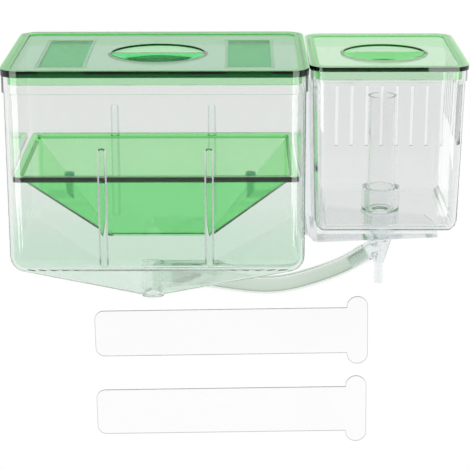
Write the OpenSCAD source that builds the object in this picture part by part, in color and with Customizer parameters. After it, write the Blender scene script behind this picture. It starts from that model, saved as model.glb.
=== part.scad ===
// Two-chamber fish breeding box for hanging inside an aquarium.
// Origin: centre of the main tank's rear wall. X to the right, Y to the rear, Z up.

/* [Main tank] */
// Outer width of the main tank's walls
main_width = 160.2; // [140:0.2:190]
// Outer depth of the main tank's walls, front to rear
main_depth = 109.2; // [94:0.2:124]
// Outer radius of the upright corners
main_corner = 9; // [8.5:0.5:14]
// Height of the rim above the origin
rim_height = 55.4; // [48:0.2:70]
// Depth of the straight walls, from the rim down to the floor's rounding
wall_drop = 100.4; // [92:0.2:120]
// Thickness of the main tank's walls
main_wall = 2; // [1.4:0.1:2.6]
// Radius that rounds the walls into the floor
floor_round = 9; // [8:0.5:9.5]
// Depth of the funnel floor below its rounding's centre
funnel_drop = 36.5; // [32:0.5:46]

/* [Main tank rim and ribs] */
// How far the rim's collar stands out of the wall
collar_out = 1; // [0.6:0.1:1.3]
// Height of the main tank's collar
collar_height = 9; // [5:0.5:14]
// Radius of the upright guide ribs
rib_radius = 2.5; // [2:0.1:3]
// Distance of each guide rib from the middle of the wall
rib_offset = 28.5; // [20:0.5:40]
// How far the upper part of a rib stands into the tank
rib_out = 2.2; // [1:0.1:2.4]
// How far the lower part of a rib stands into the tank, under the tray's rim
rib_step_out = 3.5; // [3.4:0.1:4]
// Distance from the rim down to the domed top of a rib
rib_top_drop = 38.4; // [28:0.2:44]

/* [Main lid] */
// How far a main lid edge stands past the tank's wall
lid_overhang = 1.4; // [1.2:0.1:3]
// Height of the main lid's edge
lid_edge = 3.6; // [2.4:0.1:5]
// Thickness of the main lid's sunken plate
lid_plate = 1.8; // [1.5:0.1:1.8]
// Width of a lid's raised border
lid_border = 5.3; // [4:0.1:7]
// How far a lid's plate lies below its border
lid_sink = 0.6; // [0.2:0.1:0.8]
// Depth of the skirt below the edge
skirt_drop = 4.5; // [3:0.1:6]
// Thickness of a lid's skirt
skirt_wall = 1.6; // [1.2:0.1:2.4]
// Radius of the main lid's round finger recess
main_grip_radius = 26; // [18:0.5:28]
// Depth of the finger recess at its middle
grip_depth = 6; // [5.2:0.1:6.4]
// Depth of the upright step at the recess's edge
grip_step = 1.2; // [0.8:0.1:1.8]
// Thickness of the bar across the finger recess
grip_bar = 2; // [1.4:0.1:3]
// Thickness of the recess's bowl
grip_wall = 1.4; // [1:0.1:1.6]
// How far the finger recesses lie in front of the middle of the main tank
grip_shift = 3.5; // [0:0.5:6]

/* [Vents] */
// Width of a vent grille
vent_width = 26.6; // [18:0.2:28]
// Length of a vent grille, front to rear
vent_length = 77; // [60:1:82]
// Distance of each vent's middle from its end of the lid
vent_inset = 31.4; // [30:0.2:36]
// How far the vents lie in front of the middle of the lid
vent_shift = 5; // [0:0.5:6]
// Width of the lid's ledge that carries a grille
vent_ledge = 1.2; // [0.8:0.1:1.6]
// Thickness of a grille
grille_thickness = 1.2; // [0.8:0.1:1.4]
// Distance from one grille slot to the next
slot_pitch = 2.4; // [2:0.1:4]
// Width of a grille slot
slot_width = 1.3; // [0.8:0.1:1.6]
// Width of the grille's solid border
grille_border = 1.6; // [1.4:0.1:3]

/* [Hopper tray] */
// Distance from the tank's rim down to the tray's top edge
tray_drop = 55; // [48:0.2:58]
// Gap between the tray's ends and the tank's end walls
tray_end_gap = 1.4; // [0.5:0.1:2]
// Gap between the tray's long sides and the tank's front and rear walls
tray_side_gap = 2.6; // [2.5:0.1:3]
// Height of the tray, from its bottom slit to its top edge
tray_height = 47; // [36:0.5:49]
// Height of the tray's upright edge
tray_edge = 3; // [1.6:0.1:4]
// How far the tray's edge stands out past its sloping panels
tray_ledge = 1.2; // [1:0.1:2]
// Thickness of the tray's sloping panels
tray_wall = 1.5; // [1.2:0.1:2.2]
// Length of the slit at the tray's bottom
slit_length = 54; // [40:1:70]
// Width of the slit at the tray's bottom
slit_width = 3.6; // [2.5:0.1:3.9]
// Distance of each grip peg from its end of the tray
peg_inset = 25.7; // [20:0.1:32]
// Distance from the tray's top edge down to a peg's top
peg_drop = 10.7; // [6:0.1:14]
// Height of a peg's head
peg_head_height = 2.2; // [1.6:0.1:3]
// Width of a peg's head
peg_head = 5.7; // [5:0.1:7]
// Diameter of a peg's stem
peg_stem = 4.6; // [2.6:0.1:5]

/* [Outlet] */
// How far the outlet lies left of the middle of the main tank
outlet_shift = 4.9; // [3:0.1:6]
// Outer radius of the outlet elbow's upright body
elbow_radius = 6.3; // [6:0.1:6.6]
// Width of the flat rim round the hole in the funnel's tip
tip_rim = 1.5; // [1.2:0.1:3]
// How far the elbow stands out below the funnel's tip
elbow_drop = 2.1; // [1.5:0.1:5]
// Height of the elbow's upright body
elbow_height = 20; // [19.5:0.1:24]
// Thickness of the elbow's wall and bottom
elbow_wall = 1.6; // [1.2:0.1:2]
// Outer radius of a hose spigot
spigot_radius = 4.4; // [4:0.1:4.8]
// Radius of a hose spigot's bore
spigot_bore = 3; // [2.2:0.1:3.4]
// How far a spigot reaches into the hose
spigot_grip = 11; // [8:0.5:14]
// Gap between the hose and the tunnel that it runs through under the funnel
tunnel_gap = 0.7; // [0.5:0.1:1.2]

/* [Small tank] */
// Outer width of the small tank at its rim
small_width = 81.6; // [70:0.2:96]
// Outer depth of the small tank at its rim
small_depth = 93.8; // [80:0.2:106]
// Outer radius of the small tank's upright corners at its rim
small_corner = 8; // [7:0.5:11]
// Space between the two tanks' walls
tank_gap = 3.3; // [3.2:0.1:8]
// Height of the small tank's rim above the main tank's rim
small_rim_lift = 1.4; // [0:0.1:4]
// Height of the small tank
small_height = 89.9; // [80:0.1:100]
// How far each small tank wall leans in at the bottom
small_lean = 2.2; // [0:0.1:3]
// Thickness of the small tank's walls and floor
small_wall = 1.8; // [1.4:0.1:2.4]
// Radius that rounds the small tank's walls into its floor
small_round = 6.5; // [3:0.5:8]
// How far the small tank's collar stands out of the wall
small_collar_out = 0.8; // [0.4:0.1:1.4]
// Height of the small tank's collar
small_collar_height = 6; // [4:0.5:7]

/* [Small tank slots] */
// Distance from one overflow slot to the next
flow_pitch = 7.95; // [6:0.05:10]
// Width of an overflow slot
flow_width = 1.7; // [1:0.1:2.5]
// Height of an overflow slot
flow_height = 33; // [20:1:50]
// Distance from the small tank's rim down to the slots
flow_drop = 7.5; // [6:0.5:14]
// Number of slots in the front wall
front_slots = 8; // [4:1:8]
// Number of slots in the right wall
side_slots = 9; // [4:1:9]

/* [Small lid] */
// How far a small lid edge stands past the tank's wall
small_overhang = 1.45; // [1.2:0.05:2]
// Height of the small lid's edge
small_lid_edge = 2.4; // [2:0.1:4]
// Thickness of the small lid's sunken plate
small_lid_plate = 1.2; // [1:0.1:1.4]
// Depth of the small lid's skirt below the edge
small_skirt_drop = 5; // [3:0.1:6]
// Radius of the small lid's round finger recess
small_grip_radius = 22.6; // [16:0.2:24]

/* [Riser tube] */
// Outer diameter of the riser tube
riser_diameter = 16; // [14:0.2:18]
// Thickness of the riser tube's wall
riser_wall = 1.5; // [1:0.1:2]
// Length of the riser tube
riser_length = 65; // [50:1:66]
// Outer radius of the socket that holds the riser tube
socket_radius = 10.6; // [10:0.1:13]
// Depth of the socket
socket_depth = 12.7; // [8:0.1:18]
// Radius of the hole through the small tank's floor
floor_hole = 4.5; // [3.4:0.1:5.5]

/* [Air fitting] */
// Thickness of the air fitting's flange
flange_thickness = 1.5; // [1:0.1:3]
// Radius of the air fitting between its upper and its lower cone
fitting_radius = 6.9; // [6.4:0.1:8]
// Length of the air fitting's upper cone
upper_cone = 15.5; // [14:0.5:18]
// Length of the air fitting's lower cone
lower_cone = 13.5; // [12:0.5:18]
// Outer radius of the air nipple
nipple_radius = 2.5; // [2:0.1:3.2]
// Length of the air nipple, without its tip
nipple_length = 11; // [8:0.5:18]
// Length of the air nipple's tapered tip
nipple_tip = 1.5; // [1:0.1:3]
// Radius of the air nipple's bore
nipple_bore = 1.3; // [0.8:0.1:1.5]

/* [Bracket] */
// Thickness of the bracket's shelf at its tip
shelf_tip = 2.2; // [1.2:0.1:3]
// Thickness of the bracket's shelf at its root
shelf_root = 4.8; // [3:0.1:6]
// Length of the bracket's shelf past the main tank's wall
shelf_length = 72; // [64:0.5:76]
// Depth of the bracket's shelf at its root, front to rear
shelf_depth_root = 59; // [50:1:70]
// Depth of the bracket's shelf at its tip, front to rear
shelf_depth_tip = 34; // [24:1:40]
// Width of the curve that runs from the main tank's wall to the shelf's underside
root_curve = 7; // [5:0.5:12]
// Distance from the main tank's collar down to the top of the bracket's upright pad
pad_top_drop = 0.4; // [0.3:0.1:40]
// Gap between the bracket's pad and the small tank's leaning wall
pad_gap = 0.5; // [0.3:0.1:1.2]

/* [Straps] */
// Length of a strap's band, without its head
strap_length = 140; // [110:1:160]
// Width of a strap's band
strap_width = 26.2; // [18:0.2:30]
// Length of a strap's cross head
strap_head_length = 38.8; // [32:0.2:46]
// Width of a strap's cross head
strap_head_width = 11.5; // [8:0.1:16]
// Thickness of a strap
strap_thickness = 0.8; // [0.5:0.1:1.2]
// Height of the upper strap's middle below the origin
strap_drop = 86.4; // [84:0.2:96]
// Distance from one strap's middle to the other's
strap_spacing = 46; // [42:0.5:60]
// How far the straps' left ends lie right of the tank's left wall
strap_inset = 46; // [20:0.5:60]
// Tilt of the straps
strap_tilt = 0.8; // [0:0.1:2]

/* [Fits] */
// Gap under a piece that rests on another and lifts off
seat_gap = 0.05; // [0.02:0.01:0.1]
// Gap round a lid's skirt
skirt_gap = 0.3; // [0.2:0.05:0.5]
// Radial gap between the riser tube and its socket
riser_gap = 0.06; // [0.03:0.01:0.1]
// Gap round a vent grille
grille_gap = 0.1; // [0.05:0.05:0.2]

/* [Hidden] */

$fn = 96;
hull_fn = 32;
// Thickness of the thin slices that a hull is drawn over, and how far a cut runs past a face
slice = 0.01;
past = 1;

// Main tank
mid_y = -main_depth / 2;
floor_z = rim_height - wall_drop;
funnel_z = floor_z - funnel_drop;
fillet_steps = [0, 15, 30, 45, 58, 70];

// Tray, with the width that its sloping panels take measured level
tray_top = rim_height - tray_drop;
tray_bottom = tray_top - tray_height;
tray_width = main_width - 2 * main_wall - 2 * tray_end_gap;
tray_depth = main_depth - 2 * main_wall - 2 * tray_side_gap;
step_z = tray_top - tray_edge - seat_gap;
tray_corner = 3;
peg_offset = tray_width / 2 - peg_inset;
hopper_width = tray_width - 2 * tray_ledge;
hopper_depth = tray_depth - 2 * tray_ledge;
level_x = tray_wall * norm([1, (hopper_width - slit_length) / 2 / tray_height]);
level_y = tray_wall * norm([1, (hopper_depth - slit_width) / 2 / tray_height]);

// Lids and vents
lid_z = rim_height + seat_gap;
plate_top = lid_z + lid_edge - lid_sink;
vent_offset = main_width / 2 + lid_overhang - vent_inset;
vent_y = mid_y - vent_shift;

// Small tank
small_x = main_width / 2 + tank_gap + small_width / 2;
small_rim_z = rim_height + small_rim_lift;
small_base_z = small_rim_z - small_height;
small_floor_z = small_base_z + small_wall;
small_lid_z = small_rim_z + seat_gap;
riser_radius = riser_diameter / 2;

// Air fitting
cone_z = small_base_z - flange_thickness;
waist_z = cone_z - upper_cone;
nipple_z = waist_z - lower_cone;

// Hose: round points along its middle, from the outlet elbow to the air fitting
hose_radius = 5.8;
hose_sides = 12;
// (how far right of the origin, how far above the funnel's tip)
hose_plan = [[6, 9.5], [14, 8.9], [22, 8], [30, 7], [38, 5.8], [46, 4.6], [54, 3.8], [62, 3.6],
             [70, 4.4], [78, 6.1], [86, 8.5], [94, 11.3], [102, 14.6], [109, 18.3], [117, 23.5]];
hose_route = [for (p = hose_plan) [p[0], mid_y, funnel_z + p[1]]];
hose_first = hose_route[0];
hose_last = hose_route[len(hose_route) - 1];

// Hose spigots: each leaves its fitting's upright axis and points along the hose's end
outlet_x = -outlet_shift;
elbow_z = funnel_z - elbow_drop;
outlet_fall = atan2(hose_first[2] - hose_route[1][2], hose_route[1][0] - hose_first[0]);
outlet_reach = (hose_first[0] - outlet_x) / cos(outlet_fall);
outlet_z = hose_first[2] + outlet_reach * sin(outlet_fall);
branch_fall = atan2(hose_last[2] - hose_route[len(hose_route) - 2][2],
                    hose_last[0] - hose_route[len(hose_route) - 2][0]);
branch_reach = (small_x - hose_last[0]) / cos(branch_fall);
branch_z = hose_last[2] + branch_reach * sin(branch_fall);

module rounded_rect(w, d, r) {
    square([w - 2 * r, d], center = true);
    square([w, d - 2 * r], center = true);
    for (sx = [-1, 1], sy = [-1, 1])
        translate([sx * (w / 2 - r), sy * (d / 2 - r)]) circle(r);
}

// Slab with rounded upright corners, from height z up
module slab(w, d, r, z, h) {
    translate([0, 0, z]) linear_extrude(h) rounded_rect(w, d, r);
}

// Solid under a straight-walled tank: the floor's rounding and the funnel, inset by a wall
module funnel(inset) {
    r = floor_round - inset;
    hull() {
        for (a = fillet_steps) {
            in = inset + r * (1 - cos(a));
            slab(main_width - 2 * in, main_depth - 2 * in, main_corner - in,
                 floor_z - r * sin(a), slice, $fn = hull_fn);
        }
        translate([outlet_x, 0, funnel_z + inset])
            cylinder(r = elbow_radius + tip_rim - inset / 2, h = slice, $fn = hull_fn);
    }
}

// Round bar along the hose's first stretch, from the outlet's upright axis
module outlet_bar(r, length) {
    translate([outlet_x, 0, outlet_z]) rotate([0, 90 + outlet_fall, 0]) cylinder(r = r, h = length);
}

// Guide ribs on the inside of the front and rear walls, domed at the top
module ribs() {
    rib_top = rim_height - rib_top_drop - rib_radius;
    rib_end = floor_z - floor_round / 2;
    inner = main_depth / 2 - main_wall;
    for (sx = [-1, 1], sy = [-1, 1])
        intersection() {
            union() {
                translate([sx * rib_offset, sy * (inner - rib_out + rib_radius), rib_end])
                    cylinder(r = rib_radius, h = rib_top - rib_end);
                translate([sx * rib_offset, sy * (inner - rib_out + rib_radius), rib_top])
                    sphere(rib_radius);
                translate([sx * rib_offset, sy * (inner - rib_step_out + rib_radius), rib_end])
                    cylinder(r = rib_radius, h = step_z - rib_end);
            }
            translate([0, 0, rib_end - past])
                linear_extrude(wall_drop) square([main_width, main_depth - main_wall], center = true);
        }
}

module main_tank() {
    tunnel_radius = hose_radius + tunnel_gap;
    color("lightcyan", 0.5)
        translate([0, mid_y, 0])
            difference() {
                union() {
                    difference() {
                        union() {
                            slab(main_width, main_depth, main_corner, floor_z, wall_drop);
                            slab(main_width + 2 * collar_out, main_depth + 2 * collar_out,
                                 main_corner + collar_out, rim_height - collar_height, collar_height);
                            funnel(0);
                        }
                        slab(main_width - 2 * main_wall, main_depth - 2 * main_wall,
                             main_corner - main_wall, floor_z, wall_drop + past);
                        funnel(main_wall);
                    }
                    ribs();
                    intersection() {
                        funnel(0);
                        outlet_bar(tunnel_radius + main_wall, main_width / 2);
                    }
                }
                outlet_bar(tunnel_radius, main_width);
                translate([outlet_x, 0, funnel_z - past])
                    cylinder(r = elbow_radius, h = elbow_height + past);
            }
}

// Upright cup that fills the hole in the funnel's tip, with windows and a hose spigot
module outlet_elbow() {
    inner = elbow_radius - elbow_wall;
    window = 3.4;
    color("azure", 0.6)
        translate([0, mid_y, 0])
            difference() {
                union() {
                    translate([outlet_x, 0, elbow_z]) cylinder(r = elbow_radius, h = elbow_height);
                    outlet_bar(spigot_radius, outlet_reach + spigot_grip);
                }
                translate([outlet_x, 0, elbow_z + elbow_wall]) cylinder(r = inner, h = elbow_height);
                outlet_bar(spigot_bore, outlet_reach + spigot_grip + past);
                for (turn = [90, 180, 270])
                    translate([outlet_x, 0, funnel_z + main_wall + slice]) rotate([0, 0, turn])
                        translate([0, -window / 2, 0]) cube([elbow_radius + past, window, window + 1]);
            }
}

// Sphere whose cap of the given depth meets the lid in a circle of the given radius
function bowl_radius(r, depth) = (r * r + depth * depth) / (2 * depth);

// Round finger recess: a bowl with an upright step at its edge and a bar across
module grip_bowl(r, top_z, grow) {
    depth = grip_depth - grip_step;
    ball = bowl_radius(r, depth);
    translate([0, 0, top_z - grip_depth + ball]) sphere(ball + grow);
}

module lid(w, d, corner, edge, plate, in_w, in_d, in_corner, drop, grip_r, grip_dy, z) {
    top = z + edge - lid_sink;
    difference() {
        union() {
            slab(w, d, corner, z, edge);
            slab(in_w, in_d, in_corner, z - drop, drop + slice);
        }
        difference() {
            slab(in_w - 2 * skirt_wall, in_d - 2 * skirt_wall, in_corner - skirt_wall,
                 z - drop - past, drop + past + top - plate - z);
            intersection() {
                translate([0, grip_dy, 0]) grip_bowl(grip_r, top, grip_wall);
                translate([0, grip_dy, z - drop]) cylinder(r = grip_r + grip_wall, h = drop + edge);
            }
        }
        slab(w - 2 * lid_border, d - 2 * lid_border, corner - lid_border, top, lid_sink + past);
        difference() {
            translate([0, grip_dy, 0])
                intersection() {
                    union() {
                        grip_bowl(grip_r, top, 0);
                        translate([0, 0, top - grip_step]) cylinder(r = grip_r, h = grip_step + past);
                    }
                    translate([0, 0, top - grip_depth - past])
                        cylinder(r = grip_r, h = grip_depth + 2 * past);
                }
            translate([-grip_r, grip_dy - grip_bar / 2, top - grip_depth])
                cube([2 * grip_r, grip_bar, grip_depth]);
        }
    }
}

// Seat of one vent grille: the opening through the lid and the ledge round it
module vent_seat(top) {
    hole_w = vent_width - 2 * vent_ledge;
    hole_l = vent_length - 2 * vent_ledge;
    translate([-vent_width / 2 - grille_gap, -vent_length / 2 - grille_gap, top - grille_thickness])
        cube([vent_width + 2 * grille_gap, vent_length + 2 * grille_gap, grille_thickness + past]);
    translate([-hole_w / 2, -hole_l / 2, top - lid_edge - past])
        cube([hole_w, hole_l, lid_edge + 2 * past]);
}

module main_lid() {
    color("mediumseagreen", 0.5)
        difference() {
            translate([0, mid_y, 0])
                lid(main_width + 2 * lid_overhang, main_depth + 2 * lid_overhang,
                    main_corner + lid_overhang, lid_edge, lid_plate,
                    main_width - 2 * main_wall - 2 * skirt_gap,
                    main_depth - 2 * main_wall - 2 * skirt_gap,
                    main_corner - main_wall, skirt_drop, main_grip_radius, -grip_shift, lid_z);
            for (sx = [-1, 1]) translate([sx * vent_offset, vent_y, 0]) vent_seat(plate_top);
        }
}

module vent_grille(side) {
    slots = floor((vent_length - 2 * grille_border + slot_pitch - slot_width) / slot_pitch);
    first = -(slots - 1) * slot_pitch / 2;
    translate([side * vent_offset, vent_y, plate_top - grille_thickness])
        difference() {
            translate([-vent_width / 2, -vent_length / 2, 0])
                cube([vent_width, vent_length, grille_thickness]);
            for (i = [0 : slots - 1])
                translate([-vent_width / 2 + grille_border, first + i * slot_pitch - slot_width / 2, -past])
                    cube([vent_width - 2 * grille_border, slot_width, grille_thickness + 2 * past]);
        }
}

module left_vent_grille() {
    color("seagreen", 0.6) vent_grille(-1);
}

module right_vent_grille() {
    color("seagreen", 0.6) vent_grille(1);
}

// Four-sided hopper, from its slit up to a rim of the given size
module hopper(w, d, corner, slit_l, slit_w, bottom, top) {
    hull() {
        slab(w, d, corner, top, slice, $fn = hull_fn);
        translate([-slit_l / 2, -slit_w / 2, bottom]) cube([slit_l, slit_w, slice]);
    }
}

module hopper_tray() {
    color("limegreen", 0.6)
        translate([0, mid_y, 0])
            difference() {
                union() {
                    slab(tray_width, tray_depth, tray_corner, tray_top - tray_edge, tray_edge);
                    hopper(hopper_width, hopper_depth, tray_corner, slit_length + 2 * level_x,
                           slit_width + 2 * level_y, tray_bottom, tray_top - slice);
                }
                hopper(hopper_width - 2 * level_x, hopper_depth - 2 * level_y, tray_corner - level_x / 2,
                       slit_length, slit_width, tray_bottom - slice, tray_top);
                translate([-slit_length / 2, -slit_width / 2, tray_bottom - past])
                    cube([slit_length, slit_width, 2 * past]);
            }
}

// T-headed peg that stands on the tray's sloping end panel
module tray_peg(side) {
    head_z = tray_top - peg_drop - peg_head_height;
    panel_x = hopper_width / 2 - level_x;
    color("mediumaquamarine", 0.8)
        translate([0, mid_y, 0])
            mirror([side < 0 ? 1 : 0, 0, 0])
                intersection() {
                    union() {
                        translate([peg_offset, 0, head_z]) cylinder(d = peg_head, h = peg_head_height);
                        translate([peg_offset, 0, tray_bottom])
                            cylinder(d = peg_stem, h = head_z - tray_bottom);
                    }
                    translate([0, peg_head, 0]) rotate([90, 0, 0]) linear_extrude(2 * peg_head)
                        polygon([[slit_length / 2, tray_bottom], [panel_x, tray_top], [0, tray_top]]);
                }
}

module left_tray_peg() {
    tray_peg(-1);
}

module right_tray_peg() {
    tray_peg(1);
}

// Leaning-walled box with a rounded floor, inset by a wall
module leaning_box(inset, top_z, base_z, round_r) {
    function lean(z) = small_lean * (small_rim_z - z) / small_height;
    hull() {
        slab(small_width - 2 * inset, small_depth - 2 * inset, small_corner - inset,
             top_z - slice, slice, $fn = hull_fn);
        for (a = [0, 30, 60, 90]) {
            z = base_z + round_r * (1 - sin(a));
            in = inset + lean(z) + round_r * (1 - cos(a));
            slab(small_width - 2 * in, small_depth - 2 * in, max(small_corner - in, 1),
                 z, slice, $fn = hull_fn);
        }
    }
}

module flow_slot() {
    translate([-flow_width / 2, -small_wall - small_lean, small_rim_z - flow_drop - flow_height])
        cube([flow_width, 3 * small_wall + 2 * small_lean, flow_height]);
}

module flow_slots() {
    first_x = -(front_slots - 1) * flow_pitch / 2;
    first_y = -(side_slots - 1) * flow_pitch / 2;
    for (i = [0 : front_slots - 1])
        translate([first_x + i * flow_pitch, -small_depth / 2, 0]) flow_slot();
    for (i = [0 : side_slots - 1])
        translate([small_width / 2, first_y + i * flow_pitch, 0]) rotate([0, 0, 90]) flow_slot();
    translate([small_width / 2 - small_corner * 0.42, -small_depth / 2 + small_corner * 0.42, 0])
        rotate([0, 0, 45]) flow_slot();
}

module small_tank() {
    color("lightcyan", 0.5)
        translate([small_x, mid_y, 0])
            difference() {
                union() {
                    difference() {
                        union() {
                            leaning_box(0, small_rim_z, small_base_z, small_round);
                            slab(small_width + 2 * small_collar_out, small_depth + 2 * small_collar_out,
                                 small_corner + small_collar_out,
                                 small_rim_z - small_collar_height, small_collar_height);
                        }
                        leaning_box(small_wall, small_rim_z + past, small_floor_z,
                                    small_round - small_wall);
                        flow_slots();
                    }
                    translate([0, 0, small_floor_z - slice]) cylinder(r = socket_radius, h = socket_depth);
                }
                translate([0, 0, small_floor_z])
                    cylinder(r = riser_radius + riser_gap, h = socket_depth + past);
                translate([0, 0, small_base_z - past]) cylinder(r = floor_hole, h = small_wall + 2 * past);
            }
}

module small_lid() {
    color("mediumseagreen", 0.5)
        translate([small_x, mid_y, 0])
            lid(small_width + 2 * small_overhang, small_depth + 2 * small_overhang,
                small_corner + small_overhang, small_lid_edge, small_lid_plate,
                small_width - 2 * small_wall - 2 * skirt_gap,
                small_depth - 2 * small_wall - 2 * skirt_gap,
                small_corner - small_wall, small_skirt_drop, small_grip_radius, -grip_shift, small_lid_z);
}

module riser_tube() {
    color("azure", 0.6)
        translate([small_x, mid_y, small_floor_z + seat_gap])
            difference() {
                cylinder(r = riser_radius, h = riser_length);
                translate([0, 0, -past]) cylinder(r = riser_radius - riser_wall, h = riser_length + 2 * past);
            }
}

// Round bar along the hose's last stretch, from the air fitting's upright axis
module branch_bar(r, length) {
    translate([0, 0, branch_z]) rotate([0, -90 - branch_fall, 0]) cylinder(r = r, h = length);
}

module air_fitting() {
    tip_z = nipple_z - nipple_length - nipple_tip;
    color("azure", 0.6)
        translate([small_x, mid_y, 0])
            difference() {
                union() {
                    translate([0, 0, cone_z]) cylinder(r = socket_radius, h = flange_thickness);
                    translate([0, 0, waist_z])
                        cylinder(r1 = fitting_radius, r2 = socket_radius - 0.5, h = upper_cone + slice);
                    translate([0, 0, nipple_z])
                        cylinder(r1 = nipple_radius + 0.5, r2 = fitting_radius, h = lower_cone + slice);
                    translate([0, 0, nipple_z - nipple_length])
                        cylinder(r = nipple_radius, h = nipple_length + slice);
                    translate([0, 0, tip_z])
                        cylinder(r1 = nipple_radius - 0.4, r2 = nipple_radius, h = nipple_tip + slice);
                    branch_bar(hose_radius - 0.6, branch_reach);
                    branch_bar(spigot_radius, branch_reach + spigot_grip);
                }
                translate([0, 0, waist_z]) cylinder(r = floor_hole, h = upper_cone + flange_thickness + past);
                translate([0, 0, tip_z - past])
                    cylinder(r = nipple_bore, h = waist_z - tip_z + 2 * past);
                branch_bar(spigot_bore, branch_reach + spigot_grip + past);
            }
}

module side_bracket() {
    wall_x = main_width / 2;
    tip_x = wall_x + shelf_length;
    front_y = mid_y - small_depth / 2 + small_lean;
    root_z = small_base_z - shelf_root;
    pad_z = rim_height - collar_height - pad_top_drop;
    pad_foot = wall_x + tank_gap - pad_gap + small_lean;
    pad_head = pad_foot - small_lean * (pad_z - small_base_z) / small_height;
    // Share of the root curve's width and drop at each of its points
    curve = [[0, 0.1], [0.25, 0.2], [0.45, 0.55], [0.65, 0.85], [1, 1]];
    // How far the shelf's tip is rounded off
    round_x = 4;
    round_y = 22;
    color("lightcyan", 0.5)
        difference() {
            intersection() {
                rotate([90, 0, 0]) linear_extrude(main_depth)
                    polygon(concat([[wall_x, pad_z]],
                                   [for (c = curve) [wall_x + c[0] * root_curve, small_base_z - c[1] * shelf_root]],
                                   [[tip_x, small_base_z - shelf_tip], [tip_x, small_base_z],
                                    [pad_foot, small_base_z], [pad_head, pad_z]]));
                translate([0, 0, root_z - past]) linear_extrude(pad_z - root_z + 2 * past)
                    polygon([[wall_x - past, front_y], [tip_x + past, front_y],
                             [tip_x + past / 2, front_y + shelf_depth_tip - round_y],
                             [tip_x - round_x / 5, front_y + shelf_depth_tip - round_y / 2],
                             [tip_x - round_x, front_y + shelf_depth_tip],
                             [wall_x - past, front_y + shelf_depth_root]]);
            }
            translate([small_x, mid_y, root_z - past])
                cylinder(r = socket_radius + 0.5, h = shelf_root + past + slice);
        }
}

// Ring of the hose's outline at point i of its route
function unit(v) = v / norm(v);
function route_dir(i) = unit(hose_route[min(i + 1, len(hose_route) - 1)] - hose_route[max(i - 1, 0)]);
function ring(i) = let (d = route_dir(i), n = [-d[2], 0, d[0]])
    [for (k = [0 : hose_sides - 1])
        hose_route[i] + hose_radius * (cos(360 * k / hose_sides) * n + sin(360 * k / hose_sides) * [0, 1, 0])];

module hose() {
    rings = len(hose_route);
    points = [for (i = [0 : rings - 1]) each ring(i)];
    sides = [for (i = [0 : rings - 2], k = [0 : hose_sides - 1])
        let (a = i * hose_sides + k, b = i * hose_sides + (k + 1) % hose_sides)
            [a, b, b + hose_sides, a + hose_sides]];
    first_end = [for (k = [hose_sides - 1 : -1 : 0]) k];
    last_end = [for (k = [0 : hose_sides - 1]) (rings - 1) * hose_sides + k];
    color("honeydew", 0.6) polyhedron(points, concat(sides, [first_end, last_end]), convexity = 4);
}

module strap() {
    round_r = 5;
    rotate([90, 0, 0]) linear_extrude(strap_thickness) {
        translate([round_r, -strap_width / 2 + round_r])
            square([strap_length, strap_width - 2 * round_r]);
        translate([round_r, -strap_width / 2]) square([strap_length - round_r, strap_width]);
        translate([0, -strap_width / 2 + round_r]) square([strap_length, strap_width - 2 * round_r]);
        for (sy = [-1, 1]) translate([round_r, sy * (strap_width / 2 - round_r)]) circle(round_r);
        translate([strap_length, -strap_head_length / 2 + strap_head_width / 2]) {
            translate([-strap_head_width / 4, 0])
                square([strap_head_width, strap_head_length - strap_head_width]);
            translate([strap_head_width / 4, 0]) circle(d = strap_head_width);
            translate([strap_head_width / 4, strap_head_length - strap_head_width]) circle(d = strap_head_width);
        }
    }
}

module place_strap(row) {
    color("whitesmoke", 0.6)
        translate([-main_width / 2 + strap_inset, -main_depth - lid_overhang, -strap_drop - row * strap_spacing])
            rotate([0, -strap_tilt, 0]) strap();
}

module upper_strap() {
    place_strap(0);
}

module lower_strap() {
    place_strap(1);
}

main_tank();
main_lid();
left_vent_grille();
right_vent_grille();
hopper_tray();
left_tray_peg();
right_tray_peg();
outlet_elbow();
side_bracket();
small_tank();
small_lid();
riser_tube();
air_fitting();
hose();
upper_strap();
lower_strap();
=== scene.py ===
"""Looks of the fish breeding box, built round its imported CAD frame. Lengths are in metres."""

import math

import bmesh
import bpy
from mathutils import Matrix, Vector


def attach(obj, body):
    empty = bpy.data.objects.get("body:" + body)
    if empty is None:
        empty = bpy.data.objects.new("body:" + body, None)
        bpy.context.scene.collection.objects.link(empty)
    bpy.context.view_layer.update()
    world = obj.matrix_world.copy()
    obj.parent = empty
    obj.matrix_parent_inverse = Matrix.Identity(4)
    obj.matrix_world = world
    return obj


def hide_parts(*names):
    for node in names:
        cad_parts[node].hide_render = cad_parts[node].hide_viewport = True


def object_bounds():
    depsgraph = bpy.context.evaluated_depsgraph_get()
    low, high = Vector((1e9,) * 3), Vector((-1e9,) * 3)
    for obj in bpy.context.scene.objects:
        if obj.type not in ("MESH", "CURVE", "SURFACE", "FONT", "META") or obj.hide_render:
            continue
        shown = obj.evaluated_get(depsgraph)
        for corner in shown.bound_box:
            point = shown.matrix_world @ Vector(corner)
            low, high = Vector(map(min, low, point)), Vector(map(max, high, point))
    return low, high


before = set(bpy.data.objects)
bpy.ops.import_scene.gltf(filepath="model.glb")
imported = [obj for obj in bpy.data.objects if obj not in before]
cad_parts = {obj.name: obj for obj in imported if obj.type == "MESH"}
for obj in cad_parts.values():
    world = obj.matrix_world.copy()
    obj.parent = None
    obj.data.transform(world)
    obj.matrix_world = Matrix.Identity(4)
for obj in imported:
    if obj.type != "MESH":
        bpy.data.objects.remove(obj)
cad_low, cad_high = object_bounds()

MM = 0.001
WHITE = (1, 1, 1)


def new_object(name, data):
    made = bpy.data.objects.new(name, data)
    bpy.context.scene.collection.objects.link(made)
    return made


# ---------------------------------------------------------------- camera

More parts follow.
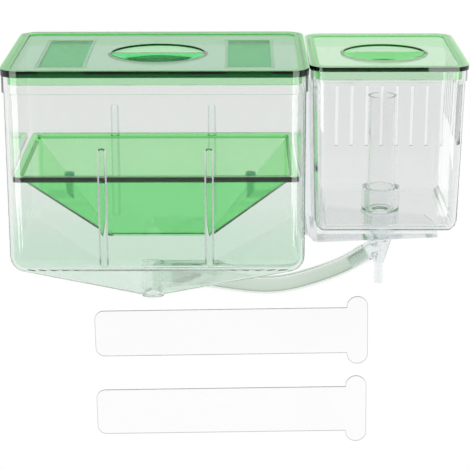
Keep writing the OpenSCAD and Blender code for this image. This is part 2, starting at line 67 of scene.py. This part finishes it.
# Fitted to the edges of the lids and tanks in the photograph
CAMERA_AT = Vector((44.28, -1008.12, 246.98)) * MM
CAMERA_PITCH = math.radians(17.167)
CAMERA_YAW = math.radians(-0.1295)
CAMERA_ROLL = math.radians(0.1074)
FOCAL_PIXELS = 1753.2
FRAME_PIXELS = 470
SENSOR_MM = 36
NEAREST_SEEN = 0.05
FARTHEST_SEEN = 50


def make_camera():
    """The photograph's camera. It looks along +Y, turned by its yaw and tilted down by its pitch."""
    forward = Vector(
        (
            math.sin(CAMERA_YAW) * math.cos(CAMERA_PITCH),
            math.cos(CAMERA_YAW) * math.cos(CAMERA_PITCH),
            -math.sin(CAMERA_PITCH),
        )
    )
    level = Vector((math.cos(CAMERA_YAW), -math.sin(CAMERA_YAW), 0))
    down = forward.cross(level)
    right = math.cos(CAMERA_ROLL) * level + math.sin(CAMERA_ROLL) * down
    down = math.cos(CAMERA_ROLL) * down - math.sin(CAMERA_ROLL) * level
    data = bpy.data.cameras.new("camera")
    data.sensor_width = SENSOR_MM
    data.lens = FOCAL_PIXELS / FRAME_PIXELS * SENSOR_MM
    data.clip_start = NEAREST_SEEN
    data.clip_end = FARTHEST_SEEN
    camera = new_object("camera", data)
    turn = Matrix((right, -down, -forward)).transposed()
    camera.matrix_world = Matrix.Translation(CAMERA_AT) @ turn.to_4x4()
    bpy.context.scene.camera = camera


# ---------------------------------------------------------------- node helpers

# Sockets of a Mix node for colours, whose names it also gives to its sockets for numbers
MIX_FIRST = 6
MIX_SECOND = 7
MIX_RESULT = 2


def new_material(name):
    material = bpy.data.materials.new(name)
    material.use_nodes = True
    material.node_tree.nodes.clear()
    return material


def add(owner, kind, **values):
    """Adds a node to a material or the world; values are its inputs by name, with _ for a space."""
    node = owner.node_tree.nodes.new(kind)
    for key, value in values.items():
        node.inputs[key.replace("_", " ")].default_value = value
    return node


def join(owner, source, target):
    owner.node_tree.links.new(source, target)


def noise(material, scale, detail, stretch=(1, 1, 1)):
    """Noise in the object's own coordinates, so that it stays on the piece."""
    where = add(material, "ShaderNodeTexCoord")
    mapping = add(material, "ShaderNodeMapping", Scale=stretch)
    texture = add(material, "ShaderNodeTexNoise", Scale=scale, Detail=detail)
    join(material, where.outputs["Object"], mapping.inputs["Vector"])
    join(material, mapping.outputs["Vector"], texture.inputs["Vector"])
    return texture.outputs["Fac"]


def between(material, factor, low, high):
    """A number that runs from low to high with factor."""
    node = add(material, "ShaderNodeMapRange", To_Min=low, To_Max=high)
    join(material, factor, node.inputs["Value"])
    return node.outputs["Result"]


def larger(material, first, second):
    """The larger of two numbers."""
    node = add(material, "ShaderNodeMath")
    node.operation = "MAXIMUM"
    join(material, first, node.inputs[0])
    join(material, second, node.inputs[1])
    return node.outputs[0]


def colour_mix(material, blend):
    node = add(material, "ShaderNodeMix")
    node.data_type = "RGBA"
    node.blend_type = blend
    return node


def blended(material, factor, first, second):
    """A colour that runs from first to second with factor."""
    node = colour_mix(material, "MIX")
    node.inputs[MIX_FIRST].default_value = (*first, 1)
    node.inputs[MIX_SECOND].default_value = (*second, 1)
    join(material, factor, node.inputs["Factor"])
    return node.outputs[MIX_RESULT]


def bumped(material, height, strength, distance):
    node = add(material, "ShaderNodeBump", Strength=strength, Distance=distance)
    join(material, height, node.inputs["Height"])
    return node.outputs["Normal"]


# ---------------------------------------------------------------- materials

# Heights between which the low colour, a painted green cast of light, fades in
PAINTED_CAST_FROM = -10 * MM
PAINTED_CAST_TO = -45 * MM
STREAK_SCALE = 30
STREAK_DETAIL = 3.0
STREAK_STRETCH = (1, 1, 0.35)
STREAK_DEPTH = 0.4 * MM
FINE_SCALE = 260
FINE_DETAIL = 2.0
TINT_LAYER = "tint"


def clear_plastic(name, tint, tint_2, absorb, density, rough, wave, ior=1.49, low=None):
    """Moulded see-through plastic: streaks of two tints, a wavy surface, and a body that takes up light.

    absorb is the colour that light takes on inside the body, at the pace that density gives. rough is the
    least and the greatest roughness, and wave the strength of the waves. low is a colour that the tint is
    multiplied by, more and more from the upper of the two heights given for it above down to the lower:
    a painted green cast of the light that has come through the green parts."""
    material = new_material(name)
    output = add(material, "ShaderNodeOutputMaterial")
    shader = add(material, "ShaderNodeBsdfPrincipled", IOR=ior, Transmission_Weight=1.0)
    streaks = noise(material, STREAK_SCALE, STREAK_DETAIL, STREAK_STRETCH)
    fine = noise(material, FINE_SCALE, FINE_DETAIL)
    colour = blended(material, streaks, tint, tint_2)
    if low:
        place = add(material, "ShaderNodeTexCoord")
        split = add(material, "ShaderNodeSeparateXYZ")
        fade = add(material, "ShaderNodeMapRange", From_Min=PAINTED_CAST_FROM, From_Max=PAINTED_CAST_TO)
        fade.interpolation_type = "SMOOTHSTEP"
        # The low colour paints a green cast of light onto the lower part
        painted_cast = colour_mix(material, "MULTIPLY")
        painted_cast.inputs[MIX_SECOND].default_value = (*low, 1)
        join(material, place.outputs["Object"], split.inputs[0])
        join(material, split.outputs["Z"], fade.inputs["Value"])
        join(material, fade.outputs["Result"], painted_cast.inputs["Factor"])
        join(material, colour, painted_cast.inputs[MIX_FIRST])
        colour = painted_cast.outputs[MIX_RESULT]
    marks = add(material, "ShaderNodeVertexColor")
    marks.layer_name = TINT_LAYER
    marked = colour_mix(material, "MULTIPLY")
    marked.inputs["Factor"].default_value = 1.0
    join(material, colour, marked.inputs[MIX_FIRST])
    join(material, marks.outputs["Color"], marked.inputs[MIX_SECOND])
    join(material, marked.outputs[MIX_RESULT], shader.inputs["Base Color"])
    join(material, between(material, fine, rough[0], rough[1]), shader.inputs["Roughness"])
    join(material, bumped(material, streaks, wave, STREAK_DEPTH), shader.inputs["Normal"])
    join(material, shader.outputs["BSDF"], output.inputs["Surface"])
    body = add(material, "ShaderNodeVolumeAbsorption", Density=density, Color=(*absorb, 1))
    join(material, body.outputs["Volume"], output.inputs["Volume"])
    return material


def make_materials():
    return {
        # The tank's low colour is a painted green cast of the light that has come through the green parts
        "tank": clear_plastic(
            "tank_plastic", (0.985, 0.99, 0.985), WHITE,
            absorb=(0.3, 0.42, 0.36), density=12, rough=(0.01, 0.05), wave=0.05, low=(0.86, 0.965, 0.89),
        ),
        "small": clear_plastic(
            "small_tank_plastic", (0.985, 0.99, 0.99), WHITE,
            absorb=(0.3, 0.38, 0.38), density=9, rough=(0.01, 0.05), wave=0.05,
        ),
        "fitting": clear_plastic(
            "fitting_plastic", (0.96, 0.97, 0.97), (0.98, 0.985, 0.985),
            absorb=(0.3, 0.38, 0.36), density=8, rough=(0.02, 0.08), wave=0.06,
        ),
        "nozzle": clear_plastic(
            "nozzle_plastic", (0.9, 0.93, 0.935), (0.95, 0.965, 0.97),
            absorb=(0.3, 0.38, 0.39), density=10, rough=(0.05, 0.12), wave=0.06,
        ),
        "bracket": clear_plastic(
            "bracket_plastic", (0.945, 0.962, 0.97), (0.965, 0.978, 0.985),
            absorb=(0.3, 0.36, 0.38), density=4, rough=(0.08, 0.16), wave=0.06, ior=1.2,
        ),
        "riser": clear_plastic(
            "riser_plastic", (0.99, 0.995, 0.995), WHITE,
            absorb=(0.3, 0.38, 0.36), density=3, rough=(0.02, 0.08), wave=0.06, ior=1.36,
        ),
        "lid": clear_plastic(
            "lid_plastic", (0.93, 1.0, 0.95), (0.97, 1.0, 0.98),
            absorb=(0.05, 0.865, 0.07), density=345, rough=(0.01, 0.05), wave=0.04,
        ),
        "small_lid": clear_plastic(
            "small_lid_plastic", (0.95, 1.0, 0.96), (0.98, 1.0, 0.98),
            absorb=(0.05, 0.865, 0.04), density=250, rough=(0.01, 0.05), wave=0.04,
        ),
        "tray": clear_plastic(
            "tray_plastic", (0.95, 1.0, 0.96), (0.98, 1.0, 0.98),
            absorb=(0.067, 0.9, 0.11), density=250, rough=(0.01, 0.05), wave=0.04,
        ),
        "peg": clear_plastic(
            "peg_plastic", (0.8, 0.97, 0.92), (0.86, 0.98, 0.94),
            absorb=(0.05, 0.72, 0.5), density=480, rough=(0.02, 0.08), wave=0.05,
        ),
        "grille": clear_plastic(
            "grille_plastic", (0.9, 1.0, 0.93), (0.95, 1.0, 0.96),
            absorb=(0.05, 0.8, 0.35), density=500, rough=(0.1, 0.25), wave=0.05,
        ),
        "hose": clear_plastic(
            "hose_silicone", (0.88, 0.928, 0.88), (0.91, 0.946, 0.91),
            absorb=(0.4, 0.5, 0.42), density=2, rough=(0.06, 0.14), wave=0.1, ior=1.22,
        ),
        "strap": clear_plastic(
            "strap_plastic", (0.98, 0.98, 0.98), WHITE,
            absorb=(0.3, 0.3, 0.3), density=20, rough=(0.05, 0.15), wave=0.08,
        ),
    }


# ---------------------------------------------------------------- tints

# Least part of a face's normal that lies along an axis, for a face that leans, mostly faces, broadly
# faces, nearly faces or fully faces that way
LEANING = 0.3
MOSTLY = 0.5
BROADLY = 0.9
NEARLY = 0.99
FULLY = 0.999
TOLERANCE = 0.1 * MM

# Lids. Their depths and heights are measured from the top, and the recess lies GRIP_SHIFT before the middle
MAIN_GRIP_RADIUS = 26 * MM
SMALL_GRIP_RADIUS = 22.6 * MM
GRIP_MARGIN = 1 * MM
GRIP_SHIFT = 3.5 * MM
MAIN_EDGE_HEIGHT = 3.7 * MM
SMALL_EDGE_HEIGHT = 2.5 * MM
EDGE_WIDTH = 4 * MM
PLATE_HIGHEST = 0.3 * MM
PLATE_LOWEST = 1 * MM
BAR_HALF_WIDTH = 1.5 * MM
STEP_HEIGHT = 2 * MM
# Share of the recess's radius in front of its middle where the painted dark shade of the step ends
STEP_FRONT = 0.4
# Painted dark shade on the lids' outer edges and the tray's upright edge, and a lighter painted shade on the
# lids' rear edges
PAINTED_EDGE_SHADE = (0.001, 0.02, 0.02)
SMALL_PAINTED_EDGE_SHADE = (0.001, 0.004, 0.002)
REAR_PAINTED_EDGE_SHADE = (0.9, 0.8, 1)
# Painted dark shade on the step round each lid's recess
PAINTED_STEP_SHADE = (0.03, 0.12, 0.05)
# Painted deeper shade on the bar across each lid's recess
PAINTED_BAR_SHADE = (0.65, 1, 1)
SMALL_PAINTED_BAR_SHADE = (0.75, 0.97, 0.8)
# Painted grey reflection on the main lid's plate, which takes out green
PAINTED_PLATE_REFLECTION = (0.73, 0.56, 1)

# Tray
TRAY_EDGE = 3.0 * MM
RIM_WIDTH = 2 * MM
RIM_FACE = 1 * MM
SEAM_WIDTH = 1.3 * MM
# Painted dark shade along the front panel's two sloping seams
PAINTED_SEAM_SHADE = (0.03, 0.12, 0.07)
PANEL_TINT = (0.8, 0.975, 0.78)
# Painted deeper shade on the front panel's front faces
FRONT_PANEL_PAINTED_SHADE = (0.7, 0.95, 0.82)

# Tanks. The ribs' depths are measured from the tank's rear face
RIB_X = 28.5 * MM
RIB_HALF_WIDTH = 2.7 * MM
RIB_NEAREST = 3.1 * MM
RIB_FARTHEST = 8 * MM
# Painted darker shade on the sides of the tank's rear ribs
PAINTED_RIB_SHADE = (0.5, 0.68, 0.6)
# Radius round the small tank's middle that stays ungreyed, as a painted highlight on its socket
SOCKET_RADIUS = 11 * MM
TANK_TINT = (0.935, 0.94, 0.935)
SMALL_TANK_TINT = (0.915, 0.925, 0.92)

# Straps
# Painted dark shade on the straps' narrow edges
PAINTED_STRAP_EDGE_SHADE = (0.2, 0.2, 0.2)
OUTLINE_LAYER = "outline"
# Painted grey shade on a thin ring round the straps' broad faces
PAINTED_OUTLINE_SHADE = (0.58, 0.58, 0.58)
OUTLINE_WIDTH = 0.3 * MM


def box_of(node):
    corners = [vert.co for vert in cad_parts[node].data.vertices]
    low = Vector([min(corner[i] for corner in corners) for i in range(3)])
    high = Vector([max(corner[i] for corner in corners) for i in range(3)])
    return low, high


def inset_of(point, low, high):
    """How far a point lies inside a box's upright sides."""
    return min(point.x - low.x, high.x - point.x, point.y - low.y, high.y - point.y)


def paint(mesh, tint=None):
    """Gives each face the colour that its material's own colour is multiplied by.

    tint gives that colour for a face's centre and normal, or None for a face that stays as it is."""
    colours = mesh.color_attributes.new(TINT_LAYER, "FLOAT_COLOR", "CORNER")
    outline = mesh.attributes.get(OUTLINE_LAYER)
    for polygon in mesh.polygons:
        colour = (tint and tint(polygon.center, polygon.normal)) or WHITE
        # Faces of the outline ring get a painted grey shade
        if outline and outline.data[polygon.index].value:
            colour = PAINTED_OUTLINE_SHADE
        for corner in polygon.loop_indices:
            colours.data[corner].color = (*colour, 1)


def lid_painted_light(node, grip_radius, edge_height, edge_shade, bar_shade, plate_reflection=None):
    """Paints light and shade onto a lid: darkens its outer edge and the step round its recess, tints the
    recess's bar a deeper shade, and tints its plate with a painted grey reflection.
    """
    low, high = box_of(node)
    grip_x = (low.x + high.x) / 2
    grip_y = (low.y + high.y) / 2 - GRIP_SHIFT

    def tint(centre, normal):
        if abs(normal.z) > MOSTLY:
            # The plate's top gets a painted grey reflection
            at_plate = high.z - PLATE_LOWEST < centre.z < high.z - PLATE_HIGHEST
            return plate_reflection if normal.z > FULLY and at_plate else None
        if math.hypot(centre.x - grip_x, centre.y - grip_y) < grip_radius + GRIP_MARGIN:
            # The recess's bar gets a painted deeper shade
            if abs(normal.y) > NEARLY and abs(centre.y - grip_y) < BAR_HALF_WIDTH:
                return bar_shade
            # The step round the recess gets a painted dark shade, but for its front
            in_front = centre.y < grip_y - STEP_FRONT * grip_radius
            return PAINTED_STEP_SHADE if centre.z > high.z - STEP_HEIGHT and not in_front else None
        # The outer edge gets a painted dark shade, lighter at the rear
        if inset_of(centre, low, high) > EDGE_WIDTH or centre.z < high.z - edge_height:
            return None
        return edge_shade if centre.y < high.y - EDGE_WIDTH else REAR_PAINTED_EDGE_SHADE

    return tint


def tray_seams(node):
    """The front panel's two sloping end edges: for each its foot and the way from it into the panel."""
    low, high = box_of(node)
    corners = [vert.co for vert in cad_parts[node].data.vertices]
    under_rim = [
        corner for corner in corners
        if abs(high.z - TRAY_EDGE - corner.z) < TOLERANCE
        and abs(corner.x) < high.x - RIM_WIDTH
        and low.y + RIM_WIDTH < corner.y
    ]
    lowest = [corner for corner in corners if corner.z < low.z + TOLERANCE]
    seams = []
    for side in (-1, 1):
        top = max(under_rim, key=lambda corner: side * corner.x - corner.y)
        foot = min(lowest, key=lambda corner: corner.y - side * corner.x)
        along = (top - foot).normalized()
        across = Vector((-side, 0, 0))
        across = (across - across.dot(along) * along).normalized()
        seams.append((foot.copy(), across))
    return seams


def tray_colour_and_painted_shade(node, seams):
    """Tints the tray's panels, gives the front panel's front faces a painted deeper shade, and darkens the
    front panel's seams and the upright edge, but for its rear, with painted shade.
    """
    low, high = box_of(node)
    middle_y = (low.y + high.y) / 2

    def tint(centre, normal):
        outermost = inset_of(centre, low, high) < RIM_FACE
        # The tray's upright edge gets a painted dark shade, but for its rear
        if abs(normal.z) < MOSTLY and outermost and centre.z > high.z - TRAY_EDGE - TOLERANCE:
            return None if centre.y > high.y - RIM_FACE else PAINTED_EDGE_SHADE
        if centre.z > high.z - RIM_FACE or normal.z < -NEARLY:
            return None
        if centre.y > middle_y:
            return PANEL_TINT
        # A strip along each sloping seam gets a painted dark shade
        for foot, across in seams:
            off = (centre - foot).dot(across)
            if -SEAM_WIDTH < off < SEAM_WIDTH and abs(normal.y) > LEANING:
                return PAINTED_SEAM_SHADE
        # The front panel's front faces get a painted deeper shade
        return FRONT_PANEL_PAINTED_SHADE if abs(normal.y) > MOSTLY and abs(normal.x) < LEANING else PANEL_TINT

    return tint


def tank_grey_and_painted_light(node, colour, painted_highlight_radius=0, shade_rear_ribs=False):
    """Greys a tank evenly, but for what stands within the given radius of its middle, which stays lighter as
    a painted highlight, and gives the sides of its rear ribs a painted darker shade.
    """
    low, high = box_of(node)
    middle_x = (low.x + high.x) / 2
    middle_y = (low.y + high.y) / 2

    def tint(centre, normal):
        # Faces round the socket stay ungreyed, as a painted highlight
        if math.hypot(centre.x - middle_x, centre.y - middle_y) < painted_highlight_radius:
            return None
        beside_rib = abs(abs(centre.x) - RIB_X) < RIB_HALF_WIDTH
        # The rear ribs' sides get a painted darker shade
        if shade_rear_ribs and beside_rib and high.y - RIB_FARTHEST < centre.y < high.y - RIB_NEAREST:
            return PAINTED_RIB_SHADE if abs(normal.x) > MOSTLY else colour
        return colour

    return tint


def strap_edge_shade(centre, normal):
    """Gives a strap's narrow edges a painted dark shade."""
    return PAINTED_STRAP_EDGE_SHADE if abs(normal.y) < MOSTLY else None


# ---------------------------------------------------------------- pieces

WELD_DISTANCE = 0.002 * MM
SKIN_GAP = 0.03 * MM
FLAT_ANGLE = math.radians(0.3)
SMOOTH_ANGLE = math.radians(32)
# Taken as the angle to a face too thin to have a normal, and above every limit
NO_ANGLE = 4
# Area over rim length above which a flat face counts as wide
WIDE_FLAT = 1.2 * MM


def flat_groups(work):
    """Groups of faces that join up flat, and the number of the group that each face is in."""
    group_of, groups = {}, []
    for face in work.faces:
        if face in group_of:
            continue
        group, todo = [], [face]
        group_of[face] = len(groups)
        while todo:
            here = todo.pop()
            group.append(here)
            for edge in here.edges:
                for other in edge.link_faces:
                    if other not in group_of and here.normal.angle(other.normal, NO_ANGLE) < FLAT_ANGLE:
                        group_of[other] = len(groups)
                        todo.append(other)
        groups.append(group)
    return groups, group_of


def corner_normals(work):
    """Normals for all face corners: wide flat faces stay flat, and narrow ones beside them bend to them."""
    groups, group_of = flat_groups(work)
    wide, level = [], []
    for index, group in enumerate(groups):
        area = sum(face.calc_area() for face in group)
        rim = sum(
            edge.calc_length() for face in group for edge in face.edges
            if any(group_of[other] != index for other in edge.link_faces)
        )
        wide.append(rim == 0 or area / rim > WIDE_FLAT)
        level.append(sum((face.normal * face.calc_area() for face in group), Vector()).normalized())
    normals = []
    for face in work.faces:
        for corner in face.loops:
            if wide[group_of[face]]:
                normals.append(level[group_of[face]])
                continue
            near = [
                other for other in corner.vert.link_loops
                if other.face.normal.angle(face.normal, NO_ANGLE) < SMOOTH_ANGLE
            ]
            broad = {group_of[other.face] for other in near if wide[group_of[other.face]]}
            if broad:
                total = sum((level[index] for index in sorted(broad)), Vector())
            else:
                total = sum((other.face.normal * other.calc_angle() for other in near), Vector())
            normals.append(total.normalized() if total.length else face.normal.copy())
    return normals


def mark_outline(work):
    """Marks a thin ring along the rim of the broad faces, which gets a painted grey shade."""
    mark = work.faces.layers.int.new(OUTLINE_LAYER)
    broad = [face for face in work.faces if abs(face.normal.y) > BROADLY]
    ring = bmesh.ops.inset_region(work, faces=broad, thickness=OUTLINE_WIDTH, use_even_offset=True)
    for face in ring["faces"]:
        face[mark] = 1


def polished(node, name, body, material, tint=None, cuts=(), outlined=False):
    """A copy of a CAD node with joined faces and smooth shading, which stands for it.

    Its skin lies a hair inside the node's, so that two clear pieces never share a face. cuts are planes that
    its faces are cut along, each as a point and a normal."""
    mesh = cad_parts[node].data.copy()
    mesh.name = name
    work = bmesh.new()
    work.from_mesh(mesh)
    bmesh.ops.remove_doubles(work, verts=work.verts, dist=WELD_DISTANCE)
    for place, across in cuts:
        everything = [*work.verts, *work.edges, *work.faces]
        bmesh.ops.bisect_plane(work, geom=everything, plane_co=place, plane_no=across)
    if outlined:
        mark_outline(work)
    for face in work.faces:
        face.smooth = True
    work.normal_update()
    normals = corner_normals(work)
    for vert, move in [(vert, vert.normal * SKIN_GAP) for vert in work.verts]:
        vert.co -= move
    work.to_mesh(mesh)
    work.free()
    mesh.materials.clear()
    mesh.materials.append(material)
    mesh.normals_split_custom_set([normal[:] for normal in normals])
    paint(mesh, tint)
    piece = new_object(name, mesh)
    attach(piece, body)
    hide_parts(node)


# ---------------------------------------------------------------- hose

HOSE_RADIUS = 5.8 * MM
HOSE_WALL = 1.3 * MM
HOSE_STEPS = 3
HOSE_SIDES = 40
HOSE_SHARP_ANGLE = math.radians(40)
HOSE_MIDDLE_Y_MM = -54.6
FUNNEL_TIP_MM = -81.5
# Points on the hose's middle: x, and the height over the funnel's tip
HOSE_PLAN_MM = [
    (6, 9.5), (14, 8.9), (22, 8), (30, 7), (38, 5.8), (46, 4.6), (54, 3.8), (62, 3.6),
    (70, 4.4), (78, 6.1), (86, 8.5), (94, 11.3), (102, 14.6), (109, 18.3), (117, 23.5),
]


def spline_points(points, steps):
    """Points on a Catmull-Rom curve through the given ones, with as many steps between each two."""
    ends = [2 * points[0] - points[1], *points, 2 * points[-1] - points[-2]]
    found = []
    for i in range(1, len(ends) - 2):
        a, b, c, d = ends[i - 1 : i + 3]
        for step in range(steps):
            t = step / steps
            found.append(
                0.5 * (2 * b + (c - a) * t + (2 * a - 5 * b + 4 * c - d) * t * t
                       + (3 * b - a - 3 * c + d) * t * t * t)
            )
    return [*found, points[-1].copy()]


def tube_mesh(name, path, outer, wall, sides):
    """A hollow tube along a path of constant y, closed by a ring at each end."""
    verts, faces = [], []
    for radius in (outer, outer - wall):
        for i, point in enumerate(path):
            along = (path[min(i + 1, len(path) - 1)] - path[max(i - 1, 0)]).normalized()
            up = Vector((-along.z, 0, along.x))
            for k in range(sides):
                angle = 2 * math.pi * k / sides
                verts.append(point + radius * (math.cos(angle) * up + math.sin(angle) * Vector((0, 1, 0))))
    inner = len(path) * sides
    last = inner - sides
    for start in range(0, last, sides):
        for k in range(sides):
            a, b = start + k, start + (k + 1) % sides
            faces.append((a, b, b + sides, a + sides))
            faces.append((inner + b, inner + a, inner + a + sides, inner + b + sides))
    for k in range(sides):
        a, b = k, (k + 1) % sides
        faces.append((b, a, inner + a, inner + b))
        faces.append((last + a, last + b, inner + last + b, inner + last + a))
    mesh = bpy.data.meshes.new(name)
    mesh.from_pydata([vert[:] for vert in verts], [], faces)
    for polygon in mesh.polygons:
        polygon.use_smooth = True
    return mesh


def make_hose(material):
    """The hose between its two spigots."""
    route = [Vector((x, HOSE_MIDDLE_Y_MM, FUNNEL_TIP_MM + z)) * MM for x, z in HOSE_PLAN_MM]
    path = spline_points(route, HOSE_STEPS)
    mesh = tube_mesh("hose_tube", path, HOSE_RADIUS, HOSE_WALL, HOSE_SIDES)
    mesh.materials.append(material)
    mesh.set_sharp_from_angle(angle=HOSE_SHARP_ANGLE)
    paint(mesh)
    piece = new_object("hose_tube", mesh)
    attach(piece, "tank")
    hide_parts("hose")


# ---------------------------------------------------------------- stage

FLOOR_DROP = 3 * MM
FLOOR_HALF_SIZE = 8
FLOOR_GREY = 0.85
# How bright the clear plastic sees the floor in front of the box, against 1 under it and behind it, and the
# places along Y between which that changes
FRONT_FLOOR = 0.35
FADE_FROM = -0.75
FADE_TO = -0.2
HORIZON_GREY = 0.95
OVERHEAD_GREY = 0.7


def make_stage():
    """A pale floor that the camera and the clear plastic see as white."""
    half = FLOOR_HALF_SIZE
    floor_z = cad_low.z - FLOOR_DROP
    mesh = bpy.data.meshes.new("floor")
    mesh.from_pydata(
        [(-half, -half, floor_z), (half, -half, floor_z), (half, half, floor_z), (-half, half, floor_z)],
        [], [(0, 1, 2, 3)],
    )
    material = new_material("floor_white")
    output = add(material, "ShaderNodeOutputMaterial")
    pale = add(material, "ShaderNodeBsdfDiffuse", Color=(FLOOR_GREY, FLOOR_GREY, FLOOR_GREY, 1))
    white = add(material, "ShaderNodeEmission")
    rays = add(material, "ShaderNodeLightPath").outputs
    place = add(material, "ShaderNodeNewGeometry")
    split = add(material, "ShaderNodeSeparateXYZ")
    fade = add(material, "ShaderNodeMapRange", From_Min=FADE_FROM, From_Max=FADE_TO, To_Min=FRONT_FLOOR)
    join(material, place.outputs["Position"], split.inputs[0])
    join(material, split.outputs["Y"], fade.inputs["Value"])
    brightness = larger(material, fade.outputs["Result"], rays["Is Camera Ray"])
    join(material, brightness, white.inputs["Strength"])
    seen = larger(material, rays["Is Camera Ray"], rays["Is Glossy Ray"])
    seen = larger(material, seen, rays["Is Transmission Ray"])
    mix = add(material, "ShaderNodeMixShader")
    join(material, seen, mix.inputs["Fac"])
    join(material, pale.outputs["BSDF"], mix.inputs[1])
    join(material, white.outputs["Emission"], mix.inputs[2])
    join(material, mix.outputs["Shader"], output.inputs["Surface"])
    mesh.materials.append(material)
    floor = new_object("floor", mesh)


def make_world():
    """Light from all round, paler at the horizon and below it than overhead."""
    world = bpy.data.worlds.new("studio")
    bpy.context.scene.world = world
    world.use_nodes = True
    world.node_tree.nodes.clear()
    output = add(world, "ShaderNodeOutputWorld")
    background = add(world, "ShaderNodeBackground", Strength=1.0)
    where = add(world, "ShaderNodeTexCoord")
    split = add(world, "ShaderNodeSeparateXYZ")
    ramp = add(world, "ShaderNodeValToRGB")
    horizon, overhead = ramp.color_ramp.elements
    horizon.color = (HORIZON_GREY, HORIZON_GREY, HORIZON_GREY, 1)
    overhead.color = (OVERHEAD_GREY, OVERHEAD_GREY, OVERHEAD_GREY, 1)
    join(world, where.outputs["Generated"], split.inputs[0])
    join(world, split.outputs["Z"], ramp.inputs["Fac"])
    join(world, ramp.outputs["Color"], background.inputs["Color"])
    join(world, background.outputs["Background"], output.inputs["Surface"])


def area_light(name, where, aim, size, power, hidden=False):
    """A lamp that shines from where to aim. A hidden one isn't seen directly or through the plastic."""
    data = bpy.data.lights.new(name, "AREA")
    data.shape = "RECTANGLE"
    data.size, data.size_y = size
    data.energy = power
    light = new_object(name, data)
    light.location = where
    light.rotation_mode = "QUATERNION"
    light.rotation_quaternion = (Vector(aim) - Vector(where)).to_track_quat("-Z", "Y")
    light.visible_camera = not hidden
    light.visible_transmission = not hidden


# ---------------------------------------------------------------- the scene

# Light passes a dozen clear walls on its way through the box
BOUNCES = 80
# Keeps the few paths that meet a lamp inside the plastic from leaving bright dots
BRIGHTEST_BOUNCE = 1.5

make_camera()
materials = make_materials()
make_hose(materials["hose"])

polished("main_tank", "main_tank_shell", "tank", materials["tank"],
         tank_grey_and_painted_light("main_tank", TANK_TINT, shade_rear_ribs=True))
polished("small_tank", "small_tank_shell", "tank", materials["small"],
         tank_grey_and_painted_light("small_tank", SMALL_TANK_TINT, painted_highlight_radius=SOCKET_RADIUS))
polished("outlet_elbow", "outlet_elbow_clear", "tank", materials["fitting"])
polished("air_fitting", "air_fitting_clear", "tank", materials["nozzle"])
polished("side_bracket", "side_bracket_clear", "tank", materials["bracket"])
polished("riser_tube", "riser_tube_clear", "riser", materials["riser"])
polished("main_lid", "main_lid_green", "main_cover", materials["lid"],
         lid_painted_light("main_lid", MAIN_GRIP_RADIUS, MAIN_EDGE_HEIGHT, PAINTED_EDGE_SHADE, PAINTED_BAR_SHADE, PAINTED_PLATE_REFLECTION))
polished("small_lid", "small_lid_green", "small_cover", materials["small_lid"],
         lid_painted_light("small_lid", SMALL_GRIP_RADIUS, SMALL_EDGE_HEIGHT, SMALL_PAINTED_EDGE_SHADE, SMALL_PAINTED_BAR_SHADE))
polished("left_vent_grille", "left_vent_slats", "main_cover", materials["grille"])
polished("right_vent_grille", "right_vent_slats", "main_cover", materials["grille"])
seams = tray_seams("hopper_tray")
polished("hopper_tray", "hopper_tray_green", "tray", materials["tray"],
         tray_colour_and_painted_shade("hopper_tray", seams),
         cuts=[(foot + across * SEAM_WIDTH, across) for foot, across in seams])
polished("left_tray_peg", "left_peg_green", "tray", materials["peg"])
polished("right_tray_peg", "right_peg_green", "tray", materials["peg"])
polished("upper_strap", "upper_strap_clear", "strap_high", materials["strap"],
         strap_edge_shade, outlined=True)
polished("lower_strap", "lower_strap_clear", "strap_low", materials["strap"],
         strap_edge_shade, outlined=True)

make_stage()
make_world()
area_light("key", where=(-0.9, -0.9, 1.1), aim=(0, -0.05, 0), size=(0.7, 0.7), power=18)
area_light("fill", where=(1.2, -0.6, 0.8), aim=(0.05, -0.05, 0), size=(0.9, 0.9), power=12)
area_light("left_strip", where=(-0.28, -0.387, -0.05), aim=(-0.08, -0.1, -0.05), size=(0.26, 0.2),
           power=0.9, hidden=True)
area_light("right_strip", where=(0.30, -0.387, -0.05), aim=(0.09, -0.1, -0.05), size=(0.26, 0.2),
           power=0.9, hidden=True)

scene = bpy.context.scene
scene.view_settings.view_transform = "Standard"
scene.cycles.max_bounces = BOUNCES
scene.cycles.transmission_bounces = BOUNCES
scene.cycles.glossy_bounces = BOUNCES
scene.cycles.sample_clamp_indirect = BRIGHTEST_BOUNCE
